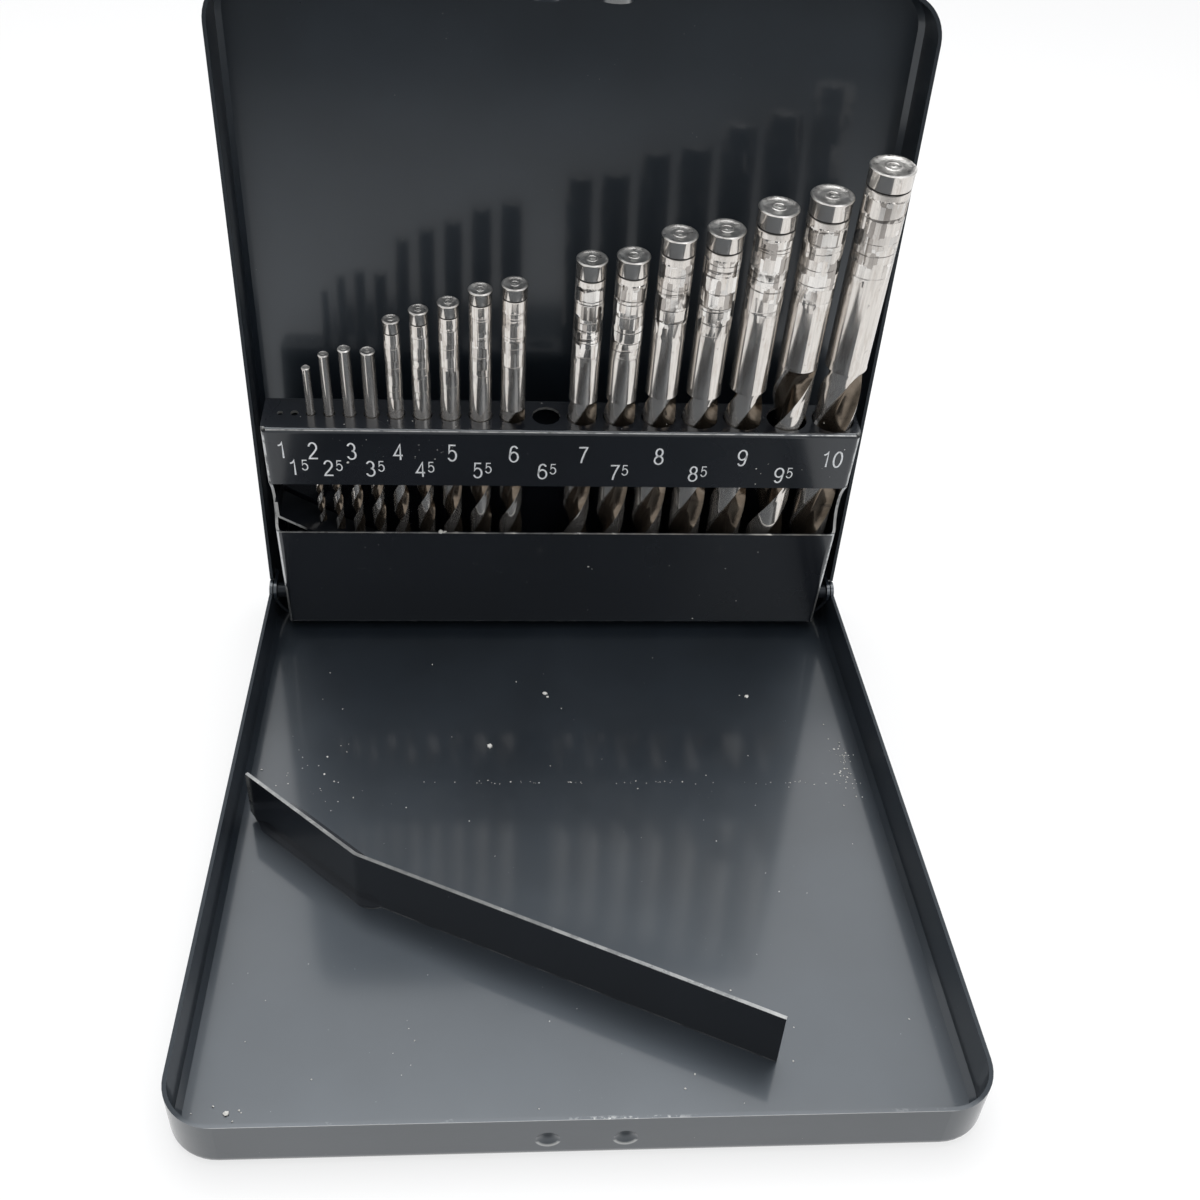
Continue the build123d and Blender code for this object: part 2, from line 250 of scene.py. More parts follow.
def paint(name, colour, roughness, peel=0.35, wear_and_highlight=None, shade=None, dust=0.5, specular=0.8, coat=0.75):
    """Dark enamel on sheet steel: orange peel, faint mottling, specks of dust, rubbed edges; the wear mask also paints
    highlights, and the shade mask halves the colour as painted shade.
    """
    n = Nodes(name)
    mottle = n.noise(42.0, 4.0)
    colour_low = tuple(c * 0.84 for c in colour) + (1,)
    colour_high = tuple(c * 1.2 for c in colour) + (1,)
    base = n.mix(n.ramp(mottle, 0.35, 0.7), colour_low, colour_high)
    cells = n.add("ShaderNodeTexVoronoi", {"Vector": n.place(), "Scale": 640.0}, feature="F1")
    fine = n.ramp(cells.outputs["Distance"], 0.09, 0.04)
    sparse = n.ramp(n.noise(95.0, 2.0), 0.60, 0.70)
    speck = n.math("MULTIPLY", n.math("MULTIPLY", fine, sparse), dust, True)
    base = n.mix(speck, base, (0.30, 0.30, 0.30, 1))
    rough = n.ramp(n.noise(17.0, 5.0), 0.3, 0.75, roughness * 0.82, roughness * 1.22)
    normal = n.bump(n.noise(1150.0, 2.0, 0.45), peel, 0.00002)
    normal = n.bump(n.noise(60.0, 1.0, 0.4), 0.18, 0.00025, normal)
    if wear_and_highlight:
        # Bare metal where rubbed, and painted highlights where the wear mask paints them.
        worn_and_highlight = wear_and_highlight(n)
        base = n.mix(worn_and_highlight, base, (0.66, 0.66, 0.64, 1))
        n.set(Metallic=worn_and_highlight)
        rough = n.ramp(worn_and_highlight, 0.0, 1.0, rough, 0.34)
    if shade:
        dull_and_painted_shade = shade(n)
        rough = n.ramp(dull_and_painted_shade, 0.0, 1.0, rough, 0.70)
        n.put(n.shader.inputs["Coat Weight"], n.ramp(dull_and_painted_shade, 0.0, 1.0, coat, 0.03))
        # Painted shade: the colour is halved on rolled rims and in the dimple pits.
        base = n.mix(dull_and_painted_shade, base, tuple(c * 0.5 for c in colour) + (1,))
    n.set(Base_Color=base, Roughness=rough, Normal=normal)
    n.shader.inputs["Specular IOR Level"].default_value = specular
    n.shader.inputs["Coat Weight"].default_value = coat
    n.shader.inputs["Specular Tint"].default_value = (0.80, 0.90, 1.0, 1)
    n.shader.inputs["Coat Roughness"].default_value = 0.11
    return n.material


def steel(name, colour, roughness, stain=0.5, film=1.0):
    """Ground tool steel; the shanks are in clear film that crinkles into facets and rings, with painted reflections:
    some facets darker, some paler.
    """
    n = Nodes(name)
    source = n.add("ShaderNodeTexCoord").outputs["UV"]

    def stretched(across, along):
        return n.add("ShaderNodeMapping", {"Vector": source, "Scale": (across, along, 1)}).outputs[0]

    along = parts_of(n, source)[1]
    blotch = n.noise(1.0, 5.0, 0.70, stretched(0.45, 0.30))
    streak = n.noise(1.0, 3.0, 0.6, stretched(2.6, 0.06))
    brown = n.ramp(n.noise(1.0, 3.0, 0.6, stretched(0.8, 0.16)), 0.50, 0.72)
    base = n.mix(n.ramp(streak, 0.35, 0.75), colour + (1,), tuple(c * 0.84 for c in colour) + (1,))
    base = n.mix(n.math("MULTIPLY", brown, stain * 0.7), base, (colour[0] * 0.55, colour[1] * 0.47, colour[2] * 0.40, 1))
    dirt = n.math("MULTIPLY", n.ramp(blotch, 0.60, 0.72), stain, True)
    normal = n.bump(streak, 0.10, 0.00004)
    if film:
        cells = stretched(0.80, 0.27)
        facet = n.add("ShaderNodeTexVoronoi", {"Vector": cells, "Scale": 1.0, "Randomness": 0.55},
                      feature="F1", distance="CHEBYCHEV")
        tone = parts_of(n, facet.outputs["Color"])
        offset = n.add("ShaderNodeVectorMath", {0: cells, 1: facet.outputs["Position"]}, operation="SUBTRACT")
        local = parts_of(n, offset.outputs[0])[0]
        rings = n.add("ShaderNodeTexVoronoi", {"Vector": stretched(0.012, 0.24), "Scale": 1.0, "Randomness": 1.0},
                      feature="DISTANCE_TO_EDGE")
        shift = n.noise(1.0, 2.0, 0.5, stretched(0.30, 0.0))
        near_ring = n.ramp(n.math("ADD", rings.outputs["Distance"], n.math("MULTIPLY", shift, 0.02)), 0.042, 0.022)
        wrapped = n.math("MULTIPLY", both(n, n.ramp(along, 5.9, 6.3), n.ramp(along, 27.0, 21.0)), film)
        ring = both(n, near_ring, wrapped, n.ramp(n.noise(1.0, 2.0, 0.5, stretched(0.5, 0.35)), 0.44, 0.56))
        # Painted reflections: some film facets darker, some paler.
        painted_dark_facet = both(n, n.ramp(tone[1], 0.66, 0.68), wrapped)
        painted_pale_facet = both(n, n.ramp(tone[2], 0.72, 0.74), wrapped)
        base = n.mix(n.math("MULTIPLY", painted_dark_facet, 0.55), base, (0.16, 0.14, 0.125, 1))
        base = n.mix(n.math("MULTIPLY", painted_pale_facet, 0.5), base, (0.93, 0.92, 0.90, 1))
        base = n.mix(n.math("MULTIPLY", ring, 0.80), base, (0.05, 0.043, 0.038, 1))
        tilt = n.math("MULTIPLY", local, n.math("MULTIPLY", n.math("SUBTRACT", tone[0], 0.5), wrapped))
        normal = n.bump(tilt, 1.0, 0.0011, normal)
        normal = n.bump(n.math("MULTIPLY", near_ring, wrapped), 0.5, 0.00010, normal)
    base = n.mix(dirt, base, tuple(c * 0.22 for c in colour) + (1,))
    rough = n.ramp(streak, 0.3, 0.75, roughness * 0.7, roughness * 1.4)
    n.set(Base_Color=base, Roughness=rough, Normal=normal)
    n.shader.inputs["Metallic"].default_value = 0.90
    n.shader.inputs["Specular IOR Level"].default_value = 0.4
    return n.material


def end_steel(name):
    """Hammered-looking grey end faces of the shanks."""
    n = Nodes(name)
    dents = n.noise(900.0, 3.0, 0.6)
    n.set(
        Base_Color=n.mix(n.ramp(n.noise(420.0, 4.0), 0.35, 0.68), (0.60, 0.59, 0.57, 1), (0.33, 0.32, 0.31, 1)),
        Roughness=n.ramp(dents, 0.3, 0.7, 0.26, 0.46),
        Normal=n.bump(dents, 0.75, 0.00008),
    )
    n.shader.inputs["Metallic"].default_value = 1.0
    return n.material


def groove_dark(name):
    # Near-black painted shade in the groove round each shank end.
    n = Nodes(name)
    groove_shade_noise = n.noise(600.0, 3.0)
    n.set(
        Base_Color=n.mix(n.ramp(groove_shade_noise, 0.35, 0.65), (0.010, 0.009, 0.008, 1), (0.030, 0.027, 0.024, 1)),
        Roughness=n.ramp(groove_shade_noise, 0.3, 0.7, 0.45, 0.65),
        Normal=n.bump(groove_shade_noise, 0.3, 0.00003),
    )
    return n.material


def flake(name):
    """Pale crumbs of dust and swarf."""
    n = Nodes(name)
    tone = n.noise(700.0, 3.0)
    n.set(
        Base_Color=n.mix(n.ramp(tone, 0.3, 0.7), (0.46, 0.45, 0.42, 1), (0.74, 0.73, 0.70, 1)),
        Roughness=n.ramp(tone, 0.3, 0.7, 0.6, 0.8),
        Normal=n.bump(tone, 0.4, 0.00005),
    )
    return n.material


def ink(name):
    """White screen print, slightly uneven."""
    n = Nodes(name)
    cover = n.noise(1500.0, 3.0)
    n.set(
        Base_Color=n.mix(n.ramp(cover, 0.25, 0.6), (0.66, 0.67, 0.68, 1), (0.86, 0.87, 0.88, 1)),
        Roughness=n.ramp(n.noise(800.0), 0.3, 0.7, 0.38, 0.55),
        Normal=n.bump(cover, 0.12, 0.00002),
    )
    return n.material


CASE = paint("case_paint", (0.0098, 0.0132, 0.0180), 0.33, peel=0.30, wear_and_highlight=shell_wear, shade=shell_shade, specular=0.6)
BASE = paint("base_paint", (0.0098, 0.0132, 0.0180), 0.40, peel=0.30, wear_and_highlight=shell_wear, shade=shell_shade, specular=0.7)
RACK_PAINT = paint("rack_paint", (0.0066, 0.0076, 0.0104), 0.26, peel=0.22, wear_and_highlight=rack_wear, dust=0.8, specular=0.4)
STRIP = paint("strip_paint", (0.0090, 0.0100, 0.0130), 0.24, peel=0.25, wear_and_highlight=strip_wear, specular=0.6)
REST = paint("rest_paint", (0.0050, 0.0060, 0.0080), 0.34, peel=0.25, wear_and_highlight=rest_wear, specular=0.3, coat=0.15)
DRILL = steel("drill_steel", (0.75, 0.715, 0.677), 0.13, stain=0.45)
THIN = steel("thin_steel", (0.75, 0.715, 0.677), 0.13, stain=0.6, film=0.30)
PLAIN = steel("plain_steel", (0.75, 0.715, 0.677), 0.13, stain=0.45, film=0.0)
FLUTE = steel("flute_steel", (0.20, 0.165, 0.13), 0.17, stain=0.9, film=0.0)
END = end_steel("end_steel")
GROOVE = groove_dark("groove_painted_shade")
RIVET = paint("rivet_paint", (0.0060, 0.0070, 0.0090), 0.40, peel=0.2, specular=0.25, coat=0.08)
FLAKE = flake("dust_flake")
INK = ink("number_ink")


def dress(node, material):
    mesh = nodes[node].data
    mesh.materials.clear()
    mesh.materials.append(material)


dress("base_shell", BASE)
dress("lid_shell", CASE)
dress("drill_rack", RACK_PAINT)
dress("tip_rest_strip", REST)
dress("shank_retainer", STRIP)
for node in ("hinge_rivet_left", "hinge_rivet_right"):
    dress(node, RIVET)


# ---------------------------------------------------------------- rear corners

SHEET = 0.8
EDGE_RADIUS = 2.5
CORNER_X, CORNER_Y, CORNER_RADIUS = 68.6, 1.8, 8.5
LID_CORNER_X, LID_CORNER_Z, LID_CORNER_RADIUS = 66.6, 11.3, 10.5
LID_CLEARANCE = 0.35


def lip_height(x):
    """How high the base's rear corner may stand under the rounded corner of the lid."""
    lid = LID_CORNER_Z - math.sqrt(LID_CORNER_RADIUS**2 - (x - LID_CORNER_X) ** 2)
    return max(SHEET, lid - LID_CLEARANCE)


def pressed_inset(z):
    """How far the rounded bottom edge of the tray lies inside its wall."""
    return EDGE_RADIUS - math.sqrt(EDGE_RADIUS**2 - max(0.0, EDGE_RADIUS - z) ** 2)


def rear_corner(side, name):
    """Pressed corner that runs on behind the base's side wall, low enough to clear the lid."""
    stations = [(0.002, 0.0), (CORNER_Y / 2, 0.0)] + [(CORNER_Y, math.radians(6 * k)) for k in range(16)]
    mesh = bmesh.new()
    rows = []
    for y, turn in stations:
        height = lip_height(CORNER_X + (CORNER_RADIUS - SHEET) * math.cos(turn))
        section = [(CORNER_RADIUS, 0.02)]
        section += [(pressed_inset(height * k / 8), max(0.02, height * k / 8)) for k in range(9)]
        floor = SHEET - 0.02
        section += [(SHEET + pressed_inset(z), z) for z in [height + (floor - height) * k / 4 for k in range(5)]]
        section.append((CORNER_RADIUS, floor))
        rows.append([mesh.verts.new(Vector((
            side * (CORNER_X + (CORNER_RADIUS - inset) * math.cos(turn)),
            y + (CORNER_RADIUS - inset) * math.sin(turn), z)) * MM) for inset, z in section])
    for low, high in zip(rows, rows[1:]):
        for k in range(len(low) - 1):
            mesh.faces.new((low[k], low[k + 1], high[k + 1], high[k])).smooth = True
    mesh.faces.new(rows[0])
    bmesh.ops.remove_doubles(mesh, verts=mesh.verts, dist=1e-7)
    bmesh.ops.recalc_face_normals(mesh, faces=mesh.faces)
    data = bpy.data.meshes.new(name)
    mesh.to_mesh(data)
    mesh.free()
    data.materials.append(BASE)
    piece = bpy.data.objects.new(name, data)
    bpy.context.scene.collection.objects.link(piece)
    split = piece.modifiers.new("crisp", "EDGE_SPLIT")
    split.split_angle = math.radians(38)
    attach(piece, "base")


rear_corner(-1, "rear_corner_left")
rear_corner(1, "rear_corner_right")


# ---------------------------------------------------------------- drills

HELIX = math.radians(27)
POINT = math.radians(59)
HALF_COLUMNS = 24
FLUTE_MIDDLE = 78
LAND_END = 28


def flute_section(radius, depth):
    """Radii and angles round a drill: two relieved lands with margins, two hollow flutes."""
    section = []
    for half in (0, math.pi):
        for k in range(HALF_COLUMNS):
            across = -50 + 180 * k / HALF_COLUMNS
            if across < -42:
                cut = 0.0
            elif across < LAND_END:
                cut = 0.04 * depth
            else:
                share = (across - LAND_END) / (130 - LAND_END)
                cut = 0.04 * depth + 0.66 * depth * math.sin(math.pi * min(1.0, share)) ** 0.8
            section.append((radius * (1 - cut), math.radians(across) + half))
    return section


def skin(mesh, layer, rings, place, smooth=True):
    """Rings of (radius, angle, height) joined; each face carries its ring's material."""
    loops = []
    for material, ring in rings:
        loops.append([mesh.verts.new(place @ Vector((r * math.cos(a), r * math.sin(a), z))) for r, a, z in ring])
    for number in range(len(rings) - 1):
        low, high = loops[number], loops[number + 1]
        count = len(low)
        for k in range(count):
            after = (k + 1) % count
            face = mesh.faces.new((low[k], low[after], high[after], high[k]))
            face.smooth = smooth
            material = rings[number][0]
            face.material_index = material[k] if isinstance(material, list) else material
            corners = ((number, k), (number, after), (number + 1, after), (number + 1, k))
            for loop, (ring, column) in zip(face.loops, corners):
                radius, angle, height = rings[ring][1][column]
                if column == 0 and k == count - 1:
                    angle += 2 * math.pi
                loop[layer].uv = (angle * radius + layer_shift[0], layer_shift[1] - height)
    return loops


layer_shift = [0.0, 0.0]


def build_drill(name, diameter, length, x, seat, flute_top, facing, number):
    """Twist drill with a hollow helix that runs out, and a grooved, chamfered shank end."""
    radius = diameter / 2
    mesh = bmesh.new()
    layer = mesh.loops.layers.uv.new("round")
    layer_shift[0], layer_shift[1] = 37.0 * number, length
    place = RACK @ Matrix.Translation(Vector((x, ROW_Y, seat)) * MM) @ Matrix.Scale(MM, 4)
    flute_end = flute_top - seat
    pitch = math.pi * diameter / math.tan(HELIX)
    run_out = 0.95 * diameter
    turn = math.radians(facing - FLUTE_MIDDLE - 360 * (flute_end - 0.45 * run_out) / pitch)
    start = radius / math.tan(POINT)
    count = math.ceil((flute_end - start) / pitch * 360 / 8)
    hollow = [1 if r < 0.93 * radius else 0 for r, a in flute_section(radius, 1.0)]
    rings = []
    tip_ring = []
    for r, a in flute_section(radius, 1.0):
        z = r / math.tan(POINT)
        tip_ring.append((r, a + turn + 2 * math.pi * z / pitch, z))
    rings.append((hollow, tip_ring))
    for step in range(1, count + 1):
        z = start + (flute_end - start) * step / count
        left = (flute_end - z) / run_out
        depth = 1.0 if left >= 1 else math.sqrt(max(0.0, 1 - (1 - left) ** 2))
        rings.append((hollow, [(r, a + turn + 2 * math.pi * z / pitch, z) for r, a in flute_section(radius, depth)]))
    loops = skin(mesh, layer, rings, place)
    tip = mesh.verts.new(place @ Vector((0, 0, 0)))
    for k in range(2 * HALF_COLUMNS):
        face = mesh.faces.new((tip, loops[0][(k + 1) % (2 * HALF_COLUMNS)], loops[0][k]))
        face.material_index = 0
    bevel = 0.055 * diameter
    groove = length - (4.3 if diameter >= 7 else 3.3)
    wide = 0.19 if diameter >= 7 else 0.16
    shank = radius - min(0.08, 0.02 * diameter)
    profile = [(0, radius, flute_end), (0, shank, flute_end + 1.2)]
    if diameter >= 4:
        profile += [(0, shank, groove - wide - 0.25), (2, shank * 0.985, groove - wide), (2, shank * 0.93, groove - 0.5 * wide),
                    (2, shank * 0.93, groove + 0.5 * wide), (0, shank * 0.985, groove + wide), (0, shank, groove + wide + 0.2)]
    flat = radius - bevel
    burr = radius + 0.04
    low = 0.014 * diameter
    profile += [(0, shank, length - 0.62), (0, burr, length - 0.42), (3, burr, length - 0.24), (3, burr - 0.26, length)]
    profile += [(3, flat * 0.88, length), (3, flat * 0.83, length - low), (3, flat * 0.46, length - low),
                (3, flat * 0.42, length), (3, flat * 0.33, length), (3, flat * 0.29, length - low),
                (3, flat * 0.14, length - low), (3, flat * 0.10, length - 0.4 * low)]
    columns = [2 * math.pi * k / 48 for k in range(48)]
    loops = skin(mesh, layer, [(m, [(r, a, z) for a in columns]) for m, r, z in profile], place)
    mesh.faces.new(loops[-1]).material_index = 3
    bmesh.ops.recalc_face_normals(mesh, faces=mesh.faces)
    data = bpy.data.meshes.new(name)
    mesh.to_mesh(data)
    mesh.free()
    piece = bpy.data.objects.new(name + "_ground", data)
    bpy.context.scene.collection.objects.link(piece)
    ground = DRILL if diameter >= 7 else THIN if diameter >= 4 else PLAIN
    for material in (ground, FLUTE, GROOVE, END):
        data.materials.append(material)
    split = piece.modifiers.new("crisp", "EDGE_SPLIT")
    split.split_angle = math.radians(38)
    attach(piece, name)
    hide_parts(name)


# diameter, place across the rack, seat height, length, top of the flutes, facing of one flute there
DRILLS = (
    (2.0, -61.04, 23.91, 49.0, 50.0, -60), (2.5, -56.65, 21.24, 55.5, 50.5, 10), (3.0, -51.79, 18.37, 60.0, 51.5, -80),
    (3.5, -46.45, 15.34, 62.5, 52.0, -30), (4.0, -40.64, 12.16, 74.5, 55.0, -110), (4.5, -34.34, 8.86, 80.5, 56.0, -70),
    (5.0, -27.57, 5.48, 86.0, 57.0, -20), (5.5, -20.32, 2.05, 93.0, 57.5, -100), (6.0, -12.60, -1.41, 98.0, 62.5, -55),
    (7.0, 4.29, -7.15, 110.5, 65.4, -46), (7.5, 13.45, -7.15, 111.5, 65.8, -44), (8.0, 23.08, -7.15, 117.0, 67.6, -36),
    (8.5, 33.19, -7.15, 118.5, 67.8, -32), (9.0, 43.79, -7.15, 124.0, 69.4, -28), (9.5, 54.85, -7.15, 127.0, 76.4, -108),
    (10.0, 66.40, -7.15, 134.0, 76.0, -42),
)
for order, (diameter, x, seat, length, flute_top, facing) in enumerate(DRILLS):
    build_drill(f"drill_bit_{diameter}".replace(".", "_"), diameter, length, x, seat, flute_top, facing, order)


# ---------------------------------------------------------------- printed numbers

def arc(x, y, across, up, start, end):
    """Points along an arc of an ellipse, in degrees from its right side."""
    steps = max(4, round(abs(end - start) / 12))
    angles = [math.radians(start + (end - start) * k / steps) for k in range(steps + 1)]
    return [(x + across * math.cos(a), y + up * math.sin(a)) for a in angles]


SIX = arc(0.52, 0.72, 0.40, 0.28, 28, 165) + arc(0.50, 0.31, 0.47, 0.31, 180, 540)
STROKES = {
    "0": [arc(0.5, 0.5, 0.46, 0.5, 90, 450)],
    "1": [[(0.10, 0.79), (0.34, 0.84), (0.50, 0.92), (0.56, 1.0), (0.56, 0.0)]],
    "2": [arc(0.48, 0.72, 0.42, 0.28, 170, -28) + [(0.50, 0.34), (0.16, 0.14), (0.04, 0.0), (0.95, 0.0)]],
    "3": [arc(0.46, 0.75, 0.38, 0.25, 160, -80), arc(0.46, 0.27, 0.45, 0.27, 85, -160)],
    "4": [[(0.74, 0.0), (0.74, 0.99), (0.03, 0.29), (1.0, 0.29)]],
    "5": [[(0.88, 1.0), (0.20, 1.0), (0.11, 0.50)] + arc(0.47, 0.33, 0.46, 0.33, 132, -155)],
    "6": [SIX],
    "7": [[(0.04, 1.0), (0.96, 1.0), (0.66, 0.62), (0.44, 0.25), (0.36, 0.0)]],
    "8": [arc(0.5, 0.76, 0.37, 0.24, -90, 270), arc(0.5, 0.26, 0.46, 0.26, 90, 450)],
    "9": [[(1 - x, 1 - y) for x, y in SIX]],
}


def ribbon(mesh, points, wide, place):
    """Flat printed stroke of even width along some points, with its thickness of ink."""
    rows = []
    for k, point in enumerate(points):
        before = points[max(0, k - 1)]
        after = points[min(len(points) - 1, k + 1)]
        into = (point - before).normalized() if k else (after - point).normalized()
        out = (after - point).normalized() if k < len(points) - 1 else into
        along = (into + out).normalized()
        side = Vector((-along.y, along.x)) * wide / 2 / max(0.5, along.dot(into))
        rows.append([mesh.verts.new(place @ (Vector((p.x, -rise, p.y)) * MM))
                     for rise, p in ((0, point - side), (INK_RISE, point - side), (INK_RISE, point + side), (0, point + side))])
    for low, high in zip(rows, rows[1:]):
        for k in range(3):
            mesh.faces.new((low[k], low[k + 1], high[k + 1], high[k]))
    mesh.faces.new(rows[0])
    mesh.faces.new(list(reversed(rows[-1])))


def figures(text, x, height, tall, wide, name):
    """Printed figures on the front of the rack's flange; the middle of the text is at x, height."""
    mesh = bmesh.new()
    place = RACK @ Matrix.Translation(Vector((x, -RACK_FRONT - 0.004, height)) * MM)
    step = wide + 0.30 * wide
    start = -(step * (len(text) - 1) + wide) / 2
    for position, figure in enumerate(text):
        for stroke in STROKES[figure]:
            points = [Vector((start + position * step + px * wide, (py - 0.5) * tall)) for px, py in stroke]
            ribbon(mesh, points, STROKE_WIDE * min(1.0, tall / 4.6), place)
    bmesh.ops.recalc_face_normals(mesh, faces=mesh.faces)
    data = bpy.data.meshes.new(name)
    mesh.to_mesh(data)
    mesh.free()
    data.materials.append(INK)
    piece = bpy.data.objects.new(name, data)
    bpy.context.scene.collection.objects.link(piece)
    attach(piece, "rack")


FIGURE_TALL = 4.85
FIGURE_WIDE = 2.15
HALF_TALL = 3.1
HALF_WIDE = 1.5
STROKE_WIDE = 0.44
INK_RISE = 0.015
HOLES = (-68.37, -64.94, -61.04, -56.65, -51.79, -46.45, -40.64, -34.34, -27.57, -20.32, -12.60, -4.39, 4.29, 13.45,
         23.08, 33.19, 43.79, 54.85, 66.40)
for step, x in enumerate(HOLES):
    whole = 1 + step // 2
    if step % 2 == 0:
        figures(str(whole), x + 0.36 - 0.003 * x, 52.35 - 0.010 * x, FIGURE_TALL, FIGURE_WIDE, f"figure_{whole}")
    else:
        low_row = 46.95 - 0.010 * x
        x += 0.15 - 0.0025 * x
        figures(str(whole), x - 0.85, low_row, FIGURE_TALL * 0.95, FIGURE_WIDE, f"figure_{whole}_half")
        figures("5", x + 1.75, low_row + 0.80, HALF_TALL, HALF_WIDE, f"figure_{whole}_half_5")


# ---------------------------------------------------------------- dust

def crumbs(name, body, places, seed, matrix=Matrix.Identity(4)):
    """Small irregular crumbs; places are (x, y, z, size) in millimetres, resting on what is there."""
    rng = random.Random(seed)
    mesh = bmesh.new()
    for x, y, z, size in places:
        made = bmesh.ops.create_icosphere(mesh, subdivisions=1, radius=size / 2)["verts"]
        stretch = Vector((rng.uniform(0.6, 1.4), rng.uniform(0.6, 1.4), rng.uniform(0.35, 0.7)))
        turn = Matrix.Rotation(rng.uniform(0, math.pi), 3, "Z")
        for v in made:
            co = Vector([c * s for c, s in zip(v.co, stretch)]) * rng.uniform(0.75, 1.2)
            v.co = matrix @ ((turn @ co + Vector((x, y, z + 0.2 * size))) * MM)
    data = bpy.data.meshes.new(name)
    mesh.to_mesh(data)
    mesh.free()
    data.materials.append(FLAKE)
    piece = bpy.data.objects.new(name, data)
    bpy.context.scene.collection.objects.link(piece)
    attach(piece, body)


dust = random.Random(7)
floor_dust = [(-17.7, -50.3, 0.8, 1.5), (-3.4, -30.8, 0.8, 1.1), (-2.8, -32.0, 0.8, 0.7), (49.5, -32.1, 0.8, 1.0)]
for _ in range(46):
    floor_dust.append((dust.gauss(70.2, 1.6), dust.gauss(-57, 5.5), 0.8, dust.uniform(0.18, 0.5)))
for _ in range(60):
    along = dust.uniform(-34, 74)
    floor_dust.append((along, -62.2 - 0.012 * (along + 34) + dust.gauss(0, 0.35), 0.8, dust.uniform(0.14, 0.34)))
for _ in range(60):
    floor_dust.append((dust.uniform(-70, 70), dust.uniform(-150, -14), 0.8, dust.uniform(0.15, 0.42)))
for _ in range(26):
    floor_dust.append((dust.gauss(-62, 6), dust.gauss(-62, 9), 0.8, dust.uniform(0.2, 0.5)))
floor_dust = [p for p in floor_dust if abs(p[0]) < 74.5]
floor_dust += [(-69.5, -145.6, 0.8, 0.6), (-66.9, -147.1, 0.8, 0.9), (-65.5, -148.7, 0.8, 0.5), (-64.6, -146.5, 0.8, 0.5), (-73.4, -146.9, 0.8, 0.4)]
crumbs("dust_base", "base", floor_dust, 11)

rack_dust = [(-30.5, -RACK_FRONT + 0.35, 25.8, 1.5), (-29.6, -RACK_FRONT + 0.3, 25.8, 1.1)]
rack_dust += [(-52.4, -RACK_FRONT, 49.2, 1.05), (8.1, -RACK_FRONT, 13.9, 0.55), (38.2, -RACK_FRONT, -6.2, 0.6)]
for _ in range(14):
    rack_dust.append((dust.gauss(-34, 9), -RACK_FRONT, dust.uniform(49, 57), dust.uniform(0.12, 0.34)))
for _ in range(10):
    rack_dust.append((dust.uniform(48, 70), -RACK_FRONT, dust.uniform(43, 57), dust.uniform(0.12, 0.40)))
for _ in range(8):
    rack_dust.append((dust.uniform(-10, 66), -RACK_FRONT, dust.uniform(-6, 24), dust.uniform(0.12, 0.34)))
for _ in range(16):
    rack_dust.append((dust.uniform(-68, 68), dust.uniform(-3.2, 7.0), SHELF_TOP, dust.uniform(0.15, 0.35)))
crumbs("dust_rack", "rack", rack_dust, 12, RACK)


# ---------------------------------------------------------------- room and light

def seen_directly(tree):
    """1 for rays that show the background itself, seen or mirrored."""
    paths = tree.nodes.new("ShaderNodeLightPath")
    last = paths.outputs["Is Camera Ray"]
    for name in ("Is Glossy Ray", "Is Transmission Ray"):
        node = tree.nodes.new("ShaderNodeMath")
        node.operation = "MAXIMUM"
        tree.links.new(last, node.inputs[0])
        tree.links.new(paths.outputs[name], node.inputs[1])
        last = node.outputs[0]
    return paths, last


def stage_floor():
    n = Nodes("floor_white")
    n.set(Base_Color=(0.86, 0.86, 0.86, 1))
    n.set(Roughness=n.ramp(n.noise(3.0), 0.3, 0.7, 0.6, 0.7))
    n.shader.inputs["Specular IOR Level"].default_value = 0.2
    paths, seen = seen_directly(n.tree)
    y = rest_frame(n)[1]
    # Painted shadow over the front of the table: the floor's glow, as seen in reflections, fades from 1 near the case
    # to 0.05 towards the front.
    front_shade = n.ramp(y, -0.52, -0.20, 0.05, 1.0)
    glow_level = n.math("MAXIMUM", paths.outputs["Is Camera Ray"], front_shade)
    glow = n.add("ShaderNodeEmission", {"Color": (1, 1, 1, 1), "Strength": glow_level})
    blend = n.add("ShaderNodeMixShader")
    keep = n.ramp(paths.outputs["Is Camera Ray"], 0, 1, 0.95, 0.70)
    n.put(blend.inputs[0], n.math("MULTIPLY", seen, keep))
    n.put(blend.inputs[1], n.shader.outputs[0])
    n.put(blend.inputs[2], glow.outputs[0])
    n.put(n.tree.nodes["Material Output"].inputs["Surface"], blend.outputs[0])
    mesh = bmesh.new()
    bmesh.ops.create_grid(mesh, x_segments=4, y_segments=4, size=4.0)
    data = bpy.data.meshes.new("floor")
    mesh.to_mesh(data)
    mesh.free()
    floor = bpy.data.objects.new("floor", data)
    floor.location.z = -0.00005
    bpy.context.scene.collection.objects.link(floor)
    data.materials.append(n.material)


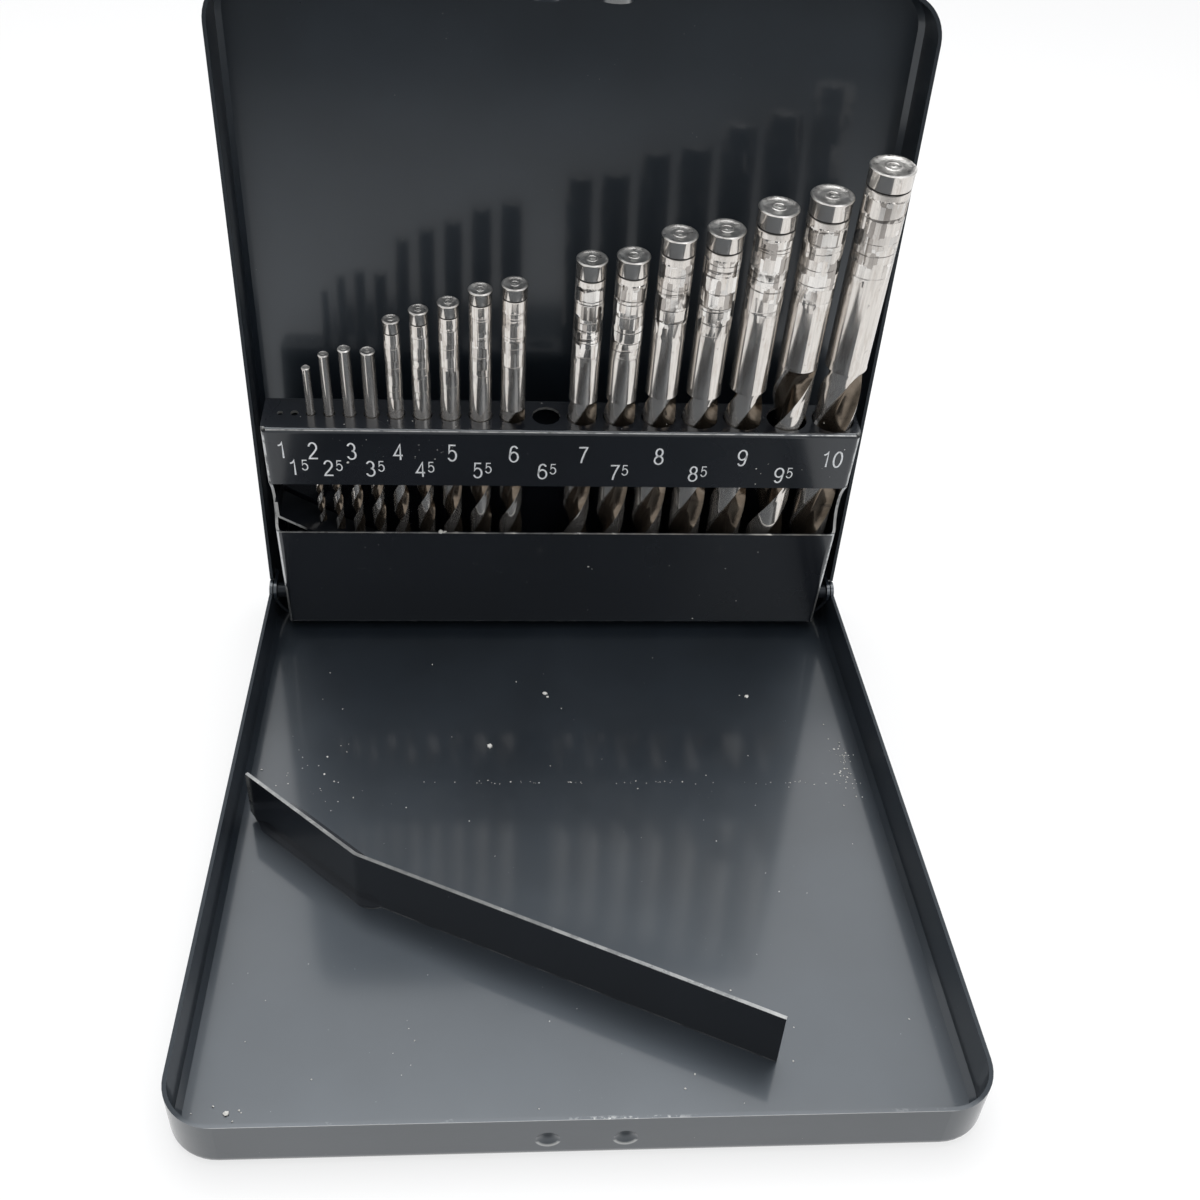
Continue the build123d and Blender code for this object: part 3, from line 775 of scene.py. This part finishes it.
def room():
    """White surroundings; the light from them is stronger from above than from the sides."""
    world = bpy.data.worlds.new("room")
    bpy.context.scene.world = world
    world.use_nodes = True
    tree = world.node_tree
    tree.nodes.clear()
    output = tree.nodes.new("ShaderNodeOutputWorld")
    paths, seen = seen_directly(tree)
    white = tree.nodes.new("ShaderNodeBackground")
    white.inputs["Color"].default_value = (1, 1, 1, 1)
    white.inputs["Strength"].default_value = 1.0
    soft = tree.nodes.new("ShaderNodeBackground")
    soft.inputs["Color"].default_value = (0.96, 0.98, 1, 1)
    place = tree.nodes.new("ShaderNodeTexCoord")
    split = tree.nodes.new("ShaderNodeSeparateXYZ")
    tree.links.new(place.outputs["Generated"], split.inputs[0])
    rise = tree.nodes.new("ShaderNodeMapRange")
    for key, value in (("From Min", -0.1), ("From Max", 0.7), ("To Min", 0.14), ("To Max", 0.85)):
        rise.inputs[key].default_value = value
    tree.links.new(split.outputs["Z"], rise.inputs["Value"])
    tree.links.new(rise.outputs["Result"], soft.inputs["Strength"])
    mix = tree.nodes.new("ShaderNodeMixShader")
    tree.links.new(seen, mix.inputs[0])
    tree.links.new(soft.outputs[0], mix.inputs[1])
    tree.links.new(white.outputs[0], mix.inputs[2])
    tree.links.new(mix.outputs[0], output.inputs[0])


def lamp(name, place, target, size, power, colour=(1, 1, 1)):
    data = bpy.data.lights.new(name, "AREA")
    data.shape = "RECTANGLE"
    data.size, data.size_y = size
    data.energy = power
    data.color = colour
    lamp_object = bpy.data.objects.new(name, data)
    lamp_object.location = place
    lamp_object.rotation_euler = (Vector(target) - Vector(place)).to_track_quat("-Z", "Y").to_euler()
    lamp_object.visible_camera = False
    bpy.context.scene.collection.objects.link(lamp_object)


def camera():
    pitch, yaw, roll = 0.6447, 0.0812, 0.0523
    forward = Vector((math.sin(yaw) * math.cos(pitch), math.cos(yaw) * math.cos(pitch), -math.sin(pitch)))
    level = Vector((math.cos(yaw), -math.sin(yaw), 0))
    up = level.cross(forward)
    right = level * math.cos(roll) + up * math.sin(roll)
    above = up * math.cos(roll) - level * math.sin(roll)
    data = bpy.data.cameras.new("camera")
    data.sensor_width = 36.0
    data.lens = 39.10
    data.shift_x = 0.0221
    data.shift_y = -0.0198
    data.clip_start = 0.01
    data.clip_end = 20.0
    view = bpy.data.objects.new("camera", data)
    turn = Matrix((right, above, -forward)).transposed().to_4x4()
    view.matrix_world = Matrix.Translation(Vector((-18.184, -283.956, 230.340)) * MM) @ turn
    bpy.context.scene.collection.objects.link(view)
    bpy.context.scene.camera = view


stage_floor()
room()
lamp("back_softbox", (0.0, 0.42, 0.78), (0, -0.09, 0.0), (1.0, 0.5), 2.0)
lamp("top_softbox", (0.0, 0.06, 0.95), (0, -0.07, 0.0), (0.8, 0.6), 5.0)
lamp("front_softbox", (0.42, -0.62, 0.72), (0, -0.02, 0.06), (0.4, 0.4), 1.3)
camera()

bpy.context.scene.view_settings.view_transform = "Standard"
